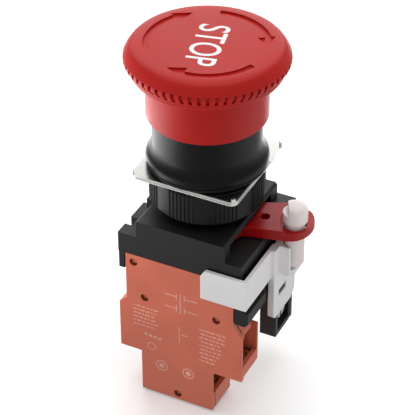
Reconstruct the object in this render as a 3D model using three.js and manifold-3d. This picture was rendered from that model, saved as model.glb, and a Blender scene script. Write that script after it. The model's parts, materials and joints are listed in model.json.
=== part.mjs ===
// Panel-mounting emergency stop button: 22 mm barrel, 40 mm push-lock turn-reset mushroom head,
// latch base with a release lever and its locking clip, a two-pole normally closed contact block
// in the front slot and a one-pole auxiliary block in the rear slot. The middle slot is empty.
// Units are millimetres. The origin is on the barrel axis in the plane of the panel's front face:
// +Z points at the operator, -Y is the broad face of the front contact block, +X is the lever side.

import * as THREE from 'three';
import { mergeVertices } from 'three/addons/utils/BufferGeometryUtils.js';
import Module from 'manifold-3d';

const wasm = await Module();
wasm.setup();
const { Manifold, Mesh: SolidMesh } = wasm;

// ---------------------------------------------------------------- driving dimensions

const GAP = 0.3; // clearance between pieces that touch
const ROUND = 40; // facets of a large round
const SMALL = 14; // facets of a small round

const TRAVEL = 4.0; // full press of the head
const HEAD_R = 20.0;
const HEAD_TOP = 32.7;
const SKIRT_R = 14.88;
const SKIRT_WALL = 0.98;
const SKIRT_BOTTOM = 13.6;

const BEZEL_R = 15.15;
const BEZEL_BOTTOM = 1.0;
const NECK_R = 13.5;
const NECK_TOP = 20.0;
const NECK_BORE = 12.2;
const BARREL_R = 11.0; // passes a 22.3 mm panel hole
const BARREL_BORE = 9.2;
const BARREL_END = -19.0;
const WEB_TOP = -9.0; // web inside the barrel that guides the shaft
const WEB_BOTTOM = -12.0;
const KEYWAY = { halfWidth: 1.2, floor: 10.1 };

const SHAFT_R = 4.0;
const SHAFT_TOP = 29.1;
const SHAFT_BOTTOM = -15.0;
const FLANGE = { r: 8.6, low: 10.0, high: 12.0 };
const GROOVE_R = 3.1;
const SPIGOT_R = 3.0;
const LATCH_Z = 15.0; // underside of the latch slider
const LATCH_THICK = 1.6;
const SLIDER = { halfLength: 9.5, halfWidth: 4.8, slotShift: 1.2 };
const FOOT = { r: 8.6, low: -15.0, high: -12.3 };

const CLEAR_BARREL = BARREL_R + GAP;
const PLATE = { half: 14.2, corner: 1.9, low: -1.3, high: -0.3, bore: CLEAR_BARREL };
const TOOTH = { near: 18.3, bend: 19.0, far: 19.6, halfWidth: 0.9, high: 0.9 };
const NUT = { r: 14.5, bore: CLEAR_BARREL, low: -10.2, high: -1.6 };
const GASKET = { r: 14.9, bore: CLEAR_BARREL, high: 0.7 };

const BASE_LEFT = -16.7;
const BASE_X = 17.0;
const BASE_Y = 16.2;
const BASE_BACK = 14.2; // back of the raised part of the base
const BASE_TOP = -12.4;
const BASE_LEDGE = -17.1; // ledge the release lever sweeps over
const BASE_BOTTOM = -22.8;
const LEVER = { low: -16.8, high: -13.9, eyeHigh: -14.7, ringR: 12.7, ringBore: 11.4 };
const PIN = { x: 22.5, y: 3.0, r: 2.5, headR: 3.15, top: -9.1, headLow: -13.9, bottom: -27.0 };
const PIN_FLAT = { from: 1.76, low: -10.9, turnDeg: 26 }; // flat cut into one side of the pin's head
const CLIP = { left: 6.6, front: -17.6, right: 19.0, wall: 1.1, top: -20.2, bottom: -28.9 };
const CLIP_LEG = { inner: 18.3, outer: 20.0, front: -3.0, back: 10.1, bottom: -42.1 };
const CLIP_WINDOW = { front: 0.1, back: 4.5, bottom: -36.3, top: -34.3 }; // snaps over a tab of the base

const BLOCK_TOP = BASE_BOTTOM - GAP;
const BLOCK_Y = { inner: 5.6, outer: 16.0 }; // distance of a block's faces from the mid-plane
const SKIN = 1.2; // wall of a contact block
const NECK_X = 14.9; // half width of a block under the base
const LUG_X = 17.0; // half width of a block at its terminals
const CONTACT_Y = 10.0; // distance of the contacts from the mid-plane
const STEM_TOP = FOOT.low - GAP;

// ---------------------------------------------------------------- materials

function material(color, roughness, metalness = 0) {
  return new THREE.MeshStandardMaterial({ color, roughness, metalness });
}

const RED = material(0xb32a26, 0.5);
const LEVER_RED = material(0xb0202c, 0.35);
const BLACK = material(0x202123, 0.5);
const BLACK_NUT = material(0x26272a, 0.6);
const ORANGE = material(0xc0604c, 0.5);
const WHITE = material(0xdedbdb, 0.45);
const NATURAL = material(0xd8d0c8, 0.4);
const RUBBER = material(0x161617, 0.85);
const STEEL = material(0xc8ccd0, 0.3, 1);
const SPRING_STEEL = material(0xa8abb0, 0.35, 1);
const BRASS = material(0xb8975a, 0.35, 1);

// ---------------------------------------------------------------- shape helpers

// Box between two values on each axis, given in either order.
function box(x0, x1, y0, y1, z0, z1) {
  const geometry = new THREE.BoxGeometry(Math.abs(x1 - x0), Math.abs(y1 - y0), Math.abs(z1 - z0));
  return geometry.translate((x0 + x1) / 2, (y0 + y1) / 2, (z0 + z1) / 2);
}

// Solid of revolution about Z; the profile is a list of [radius, z], counter-clockwise.
function revolve(profile, facets = ROUND) {
  const points = profile.map(([r, z]) => new THREE.Vector2(r, z));
  return new THREE.LatheGeometry(points, facets).rotateX(Math.PI / 2);
}

function ring(inner, outer, z0, z1, facets = ROUND) {
  return revolve([[inner, z0], [outer, z0], [outer, z1], [inner, z1], [inner, z0]], facets);
}

function rod(r, x, y, z0, z1, facets = SMALL) {
  const geometry = new THREE.CylinderGeometry(r, r, z1 - z0, facets).rotateX(Math.PI / 2);
  return geometry.translate(x, y, (z0 + z1) / 2);
}

function rodAlongX(r, y, z, x0, x1, facets = SMALL) {
  const geometry = new THREE.CylinderGeometry(r, r, Math.abs(x1 - x0), facets).rotateZ(Math.PI / 2);
  return geometry.translate((x0 + x1) / 2, y, z);
}

function rodAlongY(r, x, z, y0, y1, facets = SMALL) {
  return new THREE.CylinderGeometry(r, r, y1 - y0, facets).translate(x, (y0 + y1) / 2, z);
}

function shapeOf(outline) {
  return new THREE.Shape(outline.map(([a, b]) => new THREE.Vector2(a, b)));
}

// Outline in X and Z, extruded along Y from y0 to y1.
function slabXZ(outline, y0, y1) {
  const geometry = new THREE.ExtrudeGeometry(shapeOf(outline), { depth: y1 - y0, bevelEnabled: false });
  return geometry.rotateX(Math.PI / 2).translate(0, y1, 0);
}

// Outline in X and Y, extruded along Z from z0 to z1.
function slabXY(outline, z0, z1) {
  const geometry = new THREE.ExtrudeGeometry(shapeOf(outline), { depth: z1 - z0, bevelEnabled: false });
  return geometry.translate(0, 0, z0);
}

function arc(cx, cy, r, fromDeg, toDeg, steps) {
  const points = [];
  for (let i = 0; i <= steps; i += 1) {
    const angle = THREE.MathUtils.degToRad(fromDeg + ((toDeg - fromDeg) * i) / steps);
    points.push([cx + r * Math.cos(angle), cy + r * Math.sin(angle)]);
  }
  return points;
}

function toSolid(geometry) {
  const bare = geometry.clone();
  bare.deleteAttribute('normal');
  bare.deleteAttribute('uv');
  const merged = mergeVertices(bare, 1e-4);
  const corners = [];
  const index = merged.index.array;
  for (let i = 0; i < index.length; i += 3) {
    const [a, b, c] = [index[i], index[i + 1], index[i + 2]];
    if (a !== b && b !== c && c !== a) corners.push(a, b, c);
  }
  const vertProperties = new Float32Array(merged.attributes.position.array);
  return new Manifold(new SolidMesh({ numProp: 3, vertProperties, triVerts: new Uint32Array(corners) }));
}

function toGeometry(solid) {
  const mesh = solid.getMesh();
  const geometry = new THREE.BufferGeometry();
  geometry.setAttribute('position', new THREE.BufferAttribute(mesh.vertProperties, 3));
  geometry.setIndex(new THREE.BufferAttribute(mesh.triVerts, 1));
  geometry.computeVertexNormals();
  return geometry;
}

// Joins the added geometries into the first one, then cuts the removed ones away.
function carve(first, added, removed) {
  let solid = toSolid(first);
  for (const geometry of added) solid = solid.add(toSolid(geometry));
  for (const geometry of removed) solid = solid.subtract(toSolid(geometry));
  return toGeometry(solid);
}

class Helix extends THREE.Curve {
  constructor(radius, length, turns) {
    super();
    this.radius = radius;
    this.length = length;
    this.turns = turns;
  }

  getPoint(t, target = new THREE.Vector3()) {
    const angle = 2 * Math.PI * this.turns * t;
    return target.set(this.radius * Math.cos(angle), this.radius * Math.sin(angle), this.length * t);
  }
}

// Coil spring along Z, starting at the origin; radius is to the middle of the wire.
function coil(radius, wire, length, turns, stepsPerTurn = 8) {
  const section = shapeOf(arc(0, 0, wire, 0, 288, 4));
  const path = new Helix(radius, length, turns);
  return new THREE.ExtrudeGeometry(section, { steps: Math.round(turns * stepsPerTurn), extrudePath: path });
}

const group = new THREE.Group();

function addPiece(name, geometry, look) {
  const mesh = new THREE.Mesh(geometry, look);
  mesh.name = name;
  group.add(mesh);
  return mesh;
}

// ---------------------------------------------------------------- operator

// Outer edge of the cap from its underside to its top face, as [radius, z].
const CAP_RIM = [
  [18.0, 25.6],
  [18.55, 26.0],
  [18.65, 27.0],
  [19.35, 28.0],
  [19.95, 28.8],
  [HEAD_R, 29.4],
  [19.85, 30.0],
  [19.55, 30.6],
  [19.15, 31.2],
  [18.75, 31.75],
  [18.25, 32.25],
  [17.5, 32.58],
  [16.6, HEAD_TOP],
];
const CAP_CEILING = 29.7;
const CAP_BOSS = { inner: 8.0, outer: 9.5, low: 24.5 };

// Mushroom cap with its skirt in one moulding, hollow below, with a boss for the turn sleeve.
function headCap() {
  const skirtIn = SKIRT_R - SKIRT_WALL;
  const { inner, outer, low } = CAP_BOSS;
  return revolve([
    [0, CAP_CEILING],
    [inner, CAP_CEILING],
    [inner, low],
    [outer, low],
    [outer, CAP_CEILING],
    [skirtIn, CAP_CEILING],
    [skirtIn, SKIRT_BOTTOM],
    [SKIRT_R, SKIRT_BOTTOM],
    [SKIRT_R, CAP_RIM[0][1]],
    ...CAP_RIM,
    [0, HEAD_TOP],
  ], 48);
}

// Sleeve snapped into the cap's boss; its lower end carries the two reset cams.
function turnSleeve() {
  const bore = SHAFT_R + GAP;
  const outer = 5.0;
  const low = 21.0;
  const collar = { r: CAP_BOSS.inner - GAP, low: 28.0, high: CAP_CEILING - GAP };
  const cam = { halfWidth: 2.2, height: 1.3 };
  const body = revolve([
    [bore, low],
    [outer, low],
    [outer, collar.low],
    [collar.r, collar.low],
    [collar.r, collar.high],
    [bore, collar.high],
    [bore, low],
  ], 28);
  const notch = box(-outer - 1, outer + 1, -cam.halfWidth, cam.halfWidth, low - 1, low + cam.height);
  return carve(body, [], [notch]);
}

// Outside of the bezel up to the neck, as [radius, z].
const BEZEL_SIDE = [
  [BEZEL_R - 0.05, BEZEL_BOTTOM],
  [BEZEL_R, 1.4],
  [BEZEL_R, 2.1],
  [15.0, 2.6],
  [14.7, 3.15],
  [14.3, 3.7],
  [13.95, 4.4],
  [13.7, 5.1],
  [13.55, 5.8],
  [NECK_R, 6.5],
];
const NECK_SHELF = { r: 11.2, high: 12.7, low: 2.5 }; // shelf under the latch deck

// Neck, bezel and barrel in one moulding, with a web that guides the shaft.
function operatorHousing() {
  const webBore = SHAFT_R + GAP;
  const body = revolve([
    [BARREL_BORE, BARREL_END],
    [BARREL_R, BARREL_END],
    [BARREL_R, BEZEL_BOTTOM],
    ...BEZEL_SIDE,
    [NECK_R, NECK_TOP],
    [NECK_BORE, NECK_TOP],
    [NECK_BORE, NECK_SHELF.high],
    [NECK_SHELF.r, NECK_SHELF.high],
    [NECK_SHELF.r, NECK_SHELF.low],
    [BARREL_BORE, 0.5],
    [BARREL_BORE, WEB_TOP],
    [webBore, WEB_TOP],
    [webBore, WEB_BOTTOM],
    [BARREL_BORE, WEB_BOTTOM],
    [BARREL_BORE, BARREL_END],
  ]);
  const { halfWidth, floor } = KEYWAY;
  const keyway = box(-halfWidth, halfWidth, floor, BARREL_R + 1, BARREL_END - 1, BEZEL_BOTTOM - GAP);
  const rib = { inner: 7.9, outer: BARREL_BORE + 0.4, halfWidth: 0.8 };
  const ribs = [-1, 1].map((side) => box(
    rib.inner * side,
    rib.outer * side,
    -rib.halfWidth,
    rib.halfWidth,
    BARREL_END + 0.5,
    WEB_BOTTOM + 0.5,
  ));
  return carve(body, ribs, [keyway]);
}

// Ring that closes the neck and carries the guides of the latch slider.
function latchDeck() {
  const low = NECK_SHELF.high + GAP;
  const high = LATCH_Z - GAP;
  const deck = ring(SHAFT_R + GAP, NECK_BORE - GAP, low, high);
  const guide = { inner: SLIDER.halfWidth + GAP, width: 1.4, halfLength: 8.5 };
  const guides = [-1, 1].map((side) => box(
    -guide.halfLength,
    guide.halfLength,
    guide.inner * side,
    (guide.inner + guide.width) * side,
    high - 0.2,
    LATCH_Z + LATCH_THICK,
  ));
  return carve(deck, guides, []);
}

// The slot's -X end is long so that only its +X end enters a groove of the shaft.
function latchSlider() {
  const clear = SHAFT_R + GAP;
  const { halfLength, halfWidth, slotShift } = SLIDER;
  const low = LATCH_Z;
  const high = LATCH_Z + LATCH_THICK;
  const slotEnds = [...arc(0, 0, clear, -90, 90, 12), ...arc(-slotShift, 0, clear, 90, 270, 12)];
  const slot = slabXY(slotEnds, low - 1, high + 1);
  return carve(box(-halfLength, halfLength, -halfWidth, halfWidth, low, high), [], [slot]);
}

function plungerShaft() {
  const spigot = SPIGOT_R;
  const lowGroove = [LATCH_Z - 0.4, LATCH_Z + LATCH_THICK + 0.4];
  const highGroove = lowGroove.map((z) => z + TRAVEL);
  return revolve([
    [0, SHAFT_BOTTOM],
    [spigot, SHAFT_BOTTOM],
    [spigot, FOOT.high + GAP],
    [SHAFT_R, FOOT.high + GAP],
    [SHAFT_R, FLANGE.low],
    [FLANGE.r, FLANGE.low],
    [FLANGE.r, FLANGE.high],
    [SHAFT_R, FLANGE.high],
    [SHAFT_R, lowGroove[0]],
    [GROOVE_R, lowGroove[0]],
    [GROOVE_R, lowGroove[1]],
    [SHAFT_R, lowGroove[1]],
    [SHAFT_R, highGroove[0]],
    [GROOVE_R, highGroove[0]],
    [GROOVE_R, highGroove[1]],
    [SHAFT_R, highGroove[1]],
    [SHAFT_R, SHAFT_TOP],
    [0, SHAFT_TOP],
  ], 24);
}

// Disc on the shaft's lower end: it stops under the web and pushes the contact blocks' stems.
function pusherFoot() {
  const notch = { inner: 7.5, outer: 10, halfWidth: 1.15 };
  const notches = [-1, 1].map((side) => box(
    notch.inner * side,
    notch.outer * side,
    -notch.halfWidth,
    notch.halfWidth,
    FOOT.low - 1,
    FOOT.high + 1,
  ));
  return carve(ring(SPIGOT_R + GAP, FOOT.r, FOOT.low, FOOT.high, 28), [], notches);
}

// Square plate with an upturned tooth at each cut corner and a tab for the barrel's keyway.
function lockPlate() {
  const { half, corner, low, high, bore } = PLATE;
  const flat = half - corner;
  const outline = [
    [flat, -half], [half, -flat], [half, flat], [flat, half],
    [-flat, half], [-half, flat], [-half, -flat], [-flat, -half],
  ];
  const teeth = [45, 135, 225, 315].flatMap((angle) => {
    const { near, bend, far, halfWidth } = TOOTH;
    const foot = box(near, far, -halfWidth, halfWidth, low, high);
    const upturn = box(bend, far, -halfWidth, halfWidth, low, TOOTH.high);
    return [foot, upturn].map((part) => part.rotateZ(THREE.MathUtils.degToRad(angle)));
  });
  const tab = box(-0.9, 0.9, 10.5, bore + 0.7, low, high);
  const plate = carve(slabXY(outline, low, high), teeth, [rod(bore, 0, 0, low - 1, high + 1, ROUND)]);
  return carve(plate, [tab], []);
}

// ---------------------------------------------------------------- latch base, lever and its lock

const ARM = { outer: 17.3, bottom: -35.2, leftBottom: -28.0 };
const NOSE = { top: -30.7, slope: 0.4, height: 3.5 };

// Arms that hold a contact block by its sides, for the slot between y0 and y1.
function slotArms(y0, y1, noseX) {
  const armIn = NECK_X + GAP;
  const top = BASE_BOTTOM + 0.5;
  const noseLow = NOSE.top - NOSE.height;
  const hook = [
    [armIn, top],
    [ARM.outer, top],
    [ARM.outer, NOSE.top],
    [noseX, NOSE.top - NOSE.slope],
    [noseX, noseLow],
    [noseX - 0.9, ARM.bottom],
    [armIn, ARM.bottom],
  ];
  return [box(BASE_LEFT, -armIn, y0, y1, ARM.leftBottom, top), slabXZ(hook, y0, y1)];
}

const SIDE_NOTCHES = [[-12.4, -9.2], [-2.4, 0.8], [7.6, 10.8]]; // along Y, in the base's -X side
const NOTCH_DEPTH = 2.0;
const WELL_R = LEVER.ringR + GAP;
const RAISED = { left: -11.6, right: 12.6 };

function latchBase() {
  const roof = LEVER.high + GAP;
  const raised = slabXZ([
    [RAISED.left, BASE_LEDGE - 0.1],
    [RAISED.right, BASE_LEDGE - 0.1],
    [RAISED.right, BASE_TOP - 0.6],
    [RAISED.right - 0.6, BASE_TOP],
    [RAISED.left + 0.3, BASE_TOP],
    [RAISED.left, BASE_TOP - 0.3],
  ], -BASE_Y, BASE_BACK);
  const ringCover = box(-WELL_R - 0.9, RAISED.left + 1, -6.0, 6.0, BASE_LEDGE - 0.1, roof + 0.8);
  const lower = box(BASE_LEFT, BASE_X, -BASE_Y, BASE_Y, BASE_BOTTOM, BASE_LEDGE);
  const { front, back, bottom, top } = CLIP_WINDOW;
  const clipTab = box(NECK_X + 1, CLIP_LEG.outer - GAP, front + GAP, back - GAP, bottom + GAP, top - GAP);
  const added = [
    ringCover,
    lower,
    ...slotArms(-BLOCK_Y.outer, -BLOCK_Y.inner, 18.9),
    ...slotArms(-5.0, 5.0, 17.9),
    ...slotArms(BLOCK_Y.inner, BLOCK_Y.outer, 17.9),
    clipTab,
  ];
  const shaftWell = revolve([
    [0, BASE_BOTTOM - 1],
    [12.0, BASE_BOTTOM - 1],
    [12.0, BASE_LEDGE],
    [WELL_R, BASE_LEDGE],
    [WELL_R, roof],
    [LEVER.ringBore, roof],
    [LEVER.ringBore, BASE_TOP + 1],
    [0, BASE_TOP + 1],
  ]);
  const leverWindow = box(7.0, 14.0, -13.2, 10.4, BASE_LEDGE, roof);
  const notches = SIDE_NOTCHES.map(([y0, y1]) => (
    box(BASE_LEFT - 1, BASE_LEFT + NOTCH_DEPTH, y0, y1, BASE_BOTTOM + 1, BASE_LEDGE + 1)
  ));
  return carve(raised, added, [shaftWell, leverWindow, ...notches]);
}

// Arm and eye of the lever, as [x, y].
const LEVER_ARM = [
  [10.2, -5.0],
  [12.4, -4.5],
  [19.2, -2.7],
  [21.8, -2.2],
  [23.6, -1.5],
  [24.8, -0.6],
  [25.9, 0.9],
  [26.5, 2.8],
  [26.6, 4.7],
  [26.4, 6.2],
  [25.6, 7.8],
  [24.6, 9.0],
  [23.5, 9.7],
  [22.0, 10.0],
  [18.5, 9.7],
  [12.7, 7.0],
  [10.2, 5.5],
];
// Part of the arm that is lower than the rest, so that the pin's head sits in it.
const LEVER_STEP = [
  [17.7, 11],
  [17.7, 6.7],
  [18.6, 3.4],
  [19.3, 1.3],
  [20.9, -1.1],
  [21.6, -3],
  [28, -3],
  [28, 11],
];
const LEVER_HOLE = { x: 15.0, y: 1.65, r: 1.25 };

// Ring round the barrel with an arm to an eye; the eye's face is lower than the arm's.
function releaseLever() {
  const { low, high, eyeHigh, ringR, ringBore } = LEVER;
  const removed = [
    rod(ringBore, 0, 0, low - 1, high + 1, ROUND),
    rod(PIN.r + 0.5, PIN.x, PIN.y, low - 1, high + 1, 20),
    slabXY(LEVER_STEP, eyeHigh, high + 1),
    rod(LEVER_HOLE.r, LEVER_HOLE.x, LEVER_HOLE.y, low - 1, high + 1),
  ];
  return carve(ring(ringBore - 0.2, ringR, low, high), [slabXY(LEVER_ARM, low, high)], removed);
}

// Snap pin through the lever's eye: round head with a flat, shank with a rounded tip.
function lockPin() {
  const { x, y, r, headR, top, headLow, bottom } = PIN;
  const tip = 0.9;
  const edge = 0.7;
  const profile = [
    [0, bottom],
    [r - tip, bottom],
    [r, bottom + tip],
    [r, headLow],
    [headR - 0.4, headLow],
    [headR, headLow + edge],
    [headR, top - edge],
    [headR - edge, top],
    [0, top],
  ];
  const flat = box(-headR - 1, -PIN_FLAT.from, -headR - 1, headR + 1, PIN_FLAT.low, top + 1);
  flat.rotateZ(THREE.MathUtils.degToRad(PIN_FLAT.turnDeg));
  return carve(revolve(profile, 20), [], [flat]).translate(x, y, 0);
}

// Open socket round the pin's shank, as [x, y].
const SOCKET = [
  [CLIP_LEG.outer - 0.5, -0.2],
  [22.5, -0.2],
  [23.6, 0.9],
  [23.6, 5.1],
  [22.5, 6.2],
  [CLIP_LEG.outer - 0.5, 6.2],
];

// Bracket that hugs the base's corner, with a leg and an open socket for the pin.
function lockClip() {
  const { left, front, right, wall, top, bottom } = CLIP;
  const leg = CLIP_LEG;
  const frontArm = slabXZ([
    [left, bottom], [right, bottom], [right, top], [left + 1.2, top], [left, top - 1.8],
  ], front, front + wall);
  const sideArm = box(right - wall, right, front, 0, bottom, top);
  const legOutline = [
    [leg.front, leg.bottom + 1.2],
    [leg.front + 1.2, leg.bottom],
    [leg.back - 2.1, leg.bottom],
    [leg.back, leg.bottom + 1.7],
    [leg.back, top],
    [leg.front, top],
  ];
  const legPlate = slabXZ(legOutline, -leg.outer, -leg.inner).rotateZ(Math.PI / 2);
  const socketFloor = PIN.bottom - GAP;
  const socket = slabXY(SOCKET, socketFloor - 1.6, top);
  const bore = rod(PIN.r + GAP, PIN.x, PIN.y, socketFloor, top + 1, 20);
  const openSide = box(PIN.x + 0.6, 26, -2, 8, socketFloor, top + 1);
  const hole = CLIP_WINDOW;
  const window = box(leg.inner - 1, leg.outer + 1, hole.front, hole.back, hole.bottom, hole.top);
  return carve(frontArm, [sideArm, legPlate, socket], [bore, openSide, window]);
}

// ---------------------------------------------------------------- contact blocks
// A block's own drawing has its contacts on the -Y side; the rear block is mirrored to +Y.

const FRONT = -1;
const REAR = 1;

function spanY(side, near, far) {
  return side === FRONT ? [-far, -near] : [near, far];
}

function blockBox(side, x0, x1, near, far, z0, z1) {
  return box(x0, x1, near * side, far * side, z0, z1);
}

function blockSlab(side, outline, near, far) {
  const [y0, y1] = spanY(side, near, far);
  return slabXZ(outline, y0, y1);
}

const COVER_Y = 14.6; // where a block's cover begins, from the mid-plane
const CASE_Y = COVER_Y - GAP; // where its case ends
const FLOOR_Y = BLOCK_Y.inner + 1.0; // inner face of a block's back wall
const IN_WALL = BLOCK_Y.inner + 0.5; // a joined wall starts inside the back wall
const LUG_BOTTOM = -53.5;
const COVER_LUG_X = 17.4; // the cover stands out a little at its +X lug
const SHOULDER = { low: -39.2, high: -37.2 }; // slope from the neck to a lug
const TONGUE = { left: -11.0, right: 9.3, bottom: -66.2, pocketTop: -54.6, pocketBottom: -61.0 };
const TONGUE_MID = (TONGUE.left + TONGUE.right) / 2;
const POCKET_Y = { near: 6.2, far: 15.3 }; // wire entries run from the back wall into the cover
const LUG_POCKET = { top: -39.7, bottom: -50.0, floor: -51.5, wall: [10.5, 11.1] };
const TONGUE_WALLS = [[3.6, 4.2], [-5.9, -5.3]];
const BACK_CORNER = { x: 15.1, far: 10.0, bottom: -41.5 }; // cut-away behind a lug's shoulder
const PIN_HOLES = [[-12.7, -25.5], [-9.8, -35.8], [10.2, -36.0], [-0.7, -64.4]];
const PIN_HOLE_R = 1.1;
const STEM_HOLE = { halfWidth: 2.1, far: 9.3 };
const LUG_SCREWS = [-14.2, 14.2];
const TONGUE_SCREW_X = 6.35;
const TONGUE_SCREWS = [2 * TONGUE_MID - TONGUE_SCREW_X, TONGUE_SCREW_X];

// Outline of the two-pole block: neck, terminal lugs and the tongue with the second pole.
function tongueOutline(inset, rightLug = LUG_X) {
  const lug = LUG_X - inset;
  const neck = NECK_X - inset;
  const right = rightLug - inset;
  const lugTop = SHOULDER.low - inset * 0.4;
  return [
    [-neck, BLOCK_TOP - inset],
    [-neck, SHOULDER.high],
    [-lug, lugTop],
    [-lug, LUG_BOTTOM + inset],
    [TONGUE.left + inset, LUG_BOTTOM + inset],
    [TONGUE.left + inset, TONGUE.bottom + inset],
    [TONGUE.right - inset, TONGUE.bottom + inset],
    [TONGUE.right - inset, LUG_BOTTOM + inset],
    [right, LUG_BOTTOM + inset],
    [right, lugTop],
    [neck + 1.4, -38.2],
    [neck + 0.6, -37.2],
    [neck, -35.5],
    [neck, BLOCK_TOP - inset],
  ];
}

// Wire entries of the two-pole block, the same for its case and its cover.
function wireEntries() {
  const { near, far } = POCKET_Y;
  const lugs = [-1, 1].map((side) => blockBox(
    FRONT,
    (LUG_X - SKIN - 0.5) * side,
    (LUG_X + 1) * side,
    near,
    far,
    LUG_POCKET.bottom,
    LUG_POCKET.top,
  ));
  const { left, right, pocketBottom, pocketTop } = TONGUE;
  return [
    ...lugs,
    blockBox(FRONT, right - SKIN - 0.5, right + 1, near, far, pocketBottom, pocketTop),
    blockBox(FRONT, left - 1, left + SKIN + 0.5, near, far, pocketBottom, pocketTop),
  ];
}

function stemHole(side) {
  const { halfWidth, far } = STEM_HOLE;
  return blockBox(side, -halfWidth, halfWidth, FLOOR_Y, far, BLOCK_TOP - 3, BLOCK_TOP + 1);
}

function ncCase() {
  const hollow = blockSlab(FRONT, tongueOutline(SKIN), FLOOR_Y, BLOCK_Y.outer + 1);
  const shell = carve(blockSlab(FRONT, tongueOutline(0), BLOCK_Y.inner, CASE_Y), [], [hollow]);
  const low = LUG_BOTTOM + 0.5;
  const [wallIn, wallOut] = LUG_POCKET.wall;
  const lugWalls = [-1, 1].flatMap((side) => [
    blockBox(FRONT, (LUG_X - 0.5) * side, (wallOut + 0.1) * side, IN_WALL, CASE_Y, low, LUG_POCKET.floor),
    blockBox(FRONT, wallIn * side, wallOut * side, IN_WALL, CASE_Y, low, LUG_POCKET.top),
  ]);
  const tongueWalls = TONGUE_WALLS.map(([x0, x1]) => (
    blockBox(FRONT, x0, x1, IN_WALL, CASE_Y, TONGUE.bottom + 0.5, LUG_BOTTOM + 1)
  ));
  const pegs = PIN_HOLES.map(([x, z]) => rodAlongY(PIN_HOLE_R - GAP, x, z, -COVER_Y - 0.6, -IN_WALL, 16));
  const screwHoles = [
    ...LUG_SCREWS.map((x) => rod(2.7, x, -CONTACT_Y, LUG_BOTTOM - 1, LUG_POCKET.floor + 0.5)),
    ...TONGUE_SCREWS.map((x) => rod(2.3, x, -CONTACT_Y, TONGUE.bottom - 1, TONGUE.bottom + 4)),
  ];
  const { x, far, bottom } = BACK_CORNER;
  const corners = [-1, 1].map((side) => (
    blockBox(FRONT, x * side, (LUG_X + 1) * side, BLOCK_Y.inner - 1, far, bottom, SHOULDER.high + 1)
  ));
  const removed = [stemHole(FRONT), ...wireEntries(), ...screwHoles, ...corners];
  return carve(shell, [...lugWalls, ...tongueWalls, ...pegs], removed);
}

function ncCover() {
  const [y0, y1] = [-BLOCK_Y.outer - 1, -COVER_Y + 1];
  const holes = PIN_HOLES.map(([x, z]) => rodAlongY(PIN_HOLE_R, x, z, y0, y1, 16));
  const plate = blockSlab(FRONT, tongueOutline(0, COVER_LUG_X), COVER_Y, BLOCK_Y.outer);
  return carve(plate, [], [...holes, ...wireEntries()]);
}

// Stem and carrier that move both bridges of the two-pole block.
function contactCarrier(side, bottom, windows) {
  const stem = blockBox(side, -1.8, 1.8, 6.9, 9.0, -28.0, STEM_TOP);
  const body = blockBox(side, -2.6, 2.6, 6.9, 13.0, bottom, -27.4);
  const cuts = windows.map(([low, high]) => blockBox(side, -3, 3, 7.7, 12.3, low, high));
  return carve(stem, [body], cuts);
}

function bridge(side, left, right, low) {
  return blockBox(side, left, right, 8.0, 12.0, low, low + 0.8);
}

// Fixed contact of an upper pole, bent down to the floor of its lug.
function lugTerminal(hand) {
  const part = (a, b, near, far, z0, z1) => blockBox(FRONT, a * hand, b * hand, near, far, z0, z1);
  const strip = part(5.8, 12.2, 8.0, 12.0, -29.9, -29.1);
  const upright = part(11.4, 12.2, 8.0, 12.0, -51.2, -29.1);
  const flange = part(11.4, 15.5, 7.2, 12.8, -51.2, -50.3);
  const pad = rod(1.2, 7.0 * hand, -CONTACT_Y, -30.5, -29.8, 16);
  const hole = rod(1.7, LUG_SCREWS[1] * hand, -CONTACT_Y, -53, -50);
  return carve(strip, [upright, flange, pad], [hole]);
}

// Fixed contact of the lower pole: it runs down beside the cover to the tongue's floor.
function tongueTerminal(hand) {
  const mirror = (x) => (hand > 0 ? x : 2 * TONGUE_MID - x);
  const part = (near, far, z0, z1) => blockBox(FRONT, mirror(4.6), mirror(7.8), near, far, z0, z1);
  const upright = part(13.5, 14.2, -62.4, -43.1);
  const strip = part(8.0, 14.2, -43.9, -43.1);
  const flange = part(7.2, 14.2, -62.4, -61.5);
  const pad = rod(1.2, mirror(6.5), -CONTACT_Y, -44.5, -43.8, 16);
  const hole = rod(1.4, mirror(TONGUE_SCREW_X), -CONTACT_Y, -64, -61);
  return carve(upright, [strip, flange, pad], [hole]);
}

// Slotted cheese-head screw standing on its head.
function terminalScrew(x, y, headLow, headR, headHeight, shankR, tip) {
  const head = rod(headR, x, y, headLow, headLow + headHeight);
  const shank = rod(shankR, x, y, headLow + headHeight - 0.2, tip);
  const slot = box(x - headR - 1, x + headR + 1, y - 0.4, y + 0.4, headLow - 1, headLow + 0.7);
  return carve(head, [shank], [slot]);
}

// ---------------------------------------------------------------- one-pole auxiliary block

const LEG = { inner: 12.4, bottom: -55.2, crotch: -46.0 };
const LEG_WINDOW = { near: 6.8, far: 13.8, top: -42.4, bottom: -53.8 };
const AUX_SCREW_Z = -48.5;

function legOutline() {
  return [
    [-NECK_X, BLOCK_TOP],
    [-NECK_X, SHOULDER.high],
    [-LUG_X, SHOULDER.low],
    [-LUG_X, LEG.bottom],
    [-LEG.inner, LEG.bottom],
    [-LEG.inner, LEG.crotch],
    [LEG.inner, LEG.crotch],
    [LEG.inner, LEG.bottom],
    [LUG_X, LEG.bottom],
    [LUG_X, SHOULDER.low],
    [NECK_X, SHOULDER.high],
    [NECK_X, BLOCK_TOP],
  ];
}

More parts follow.
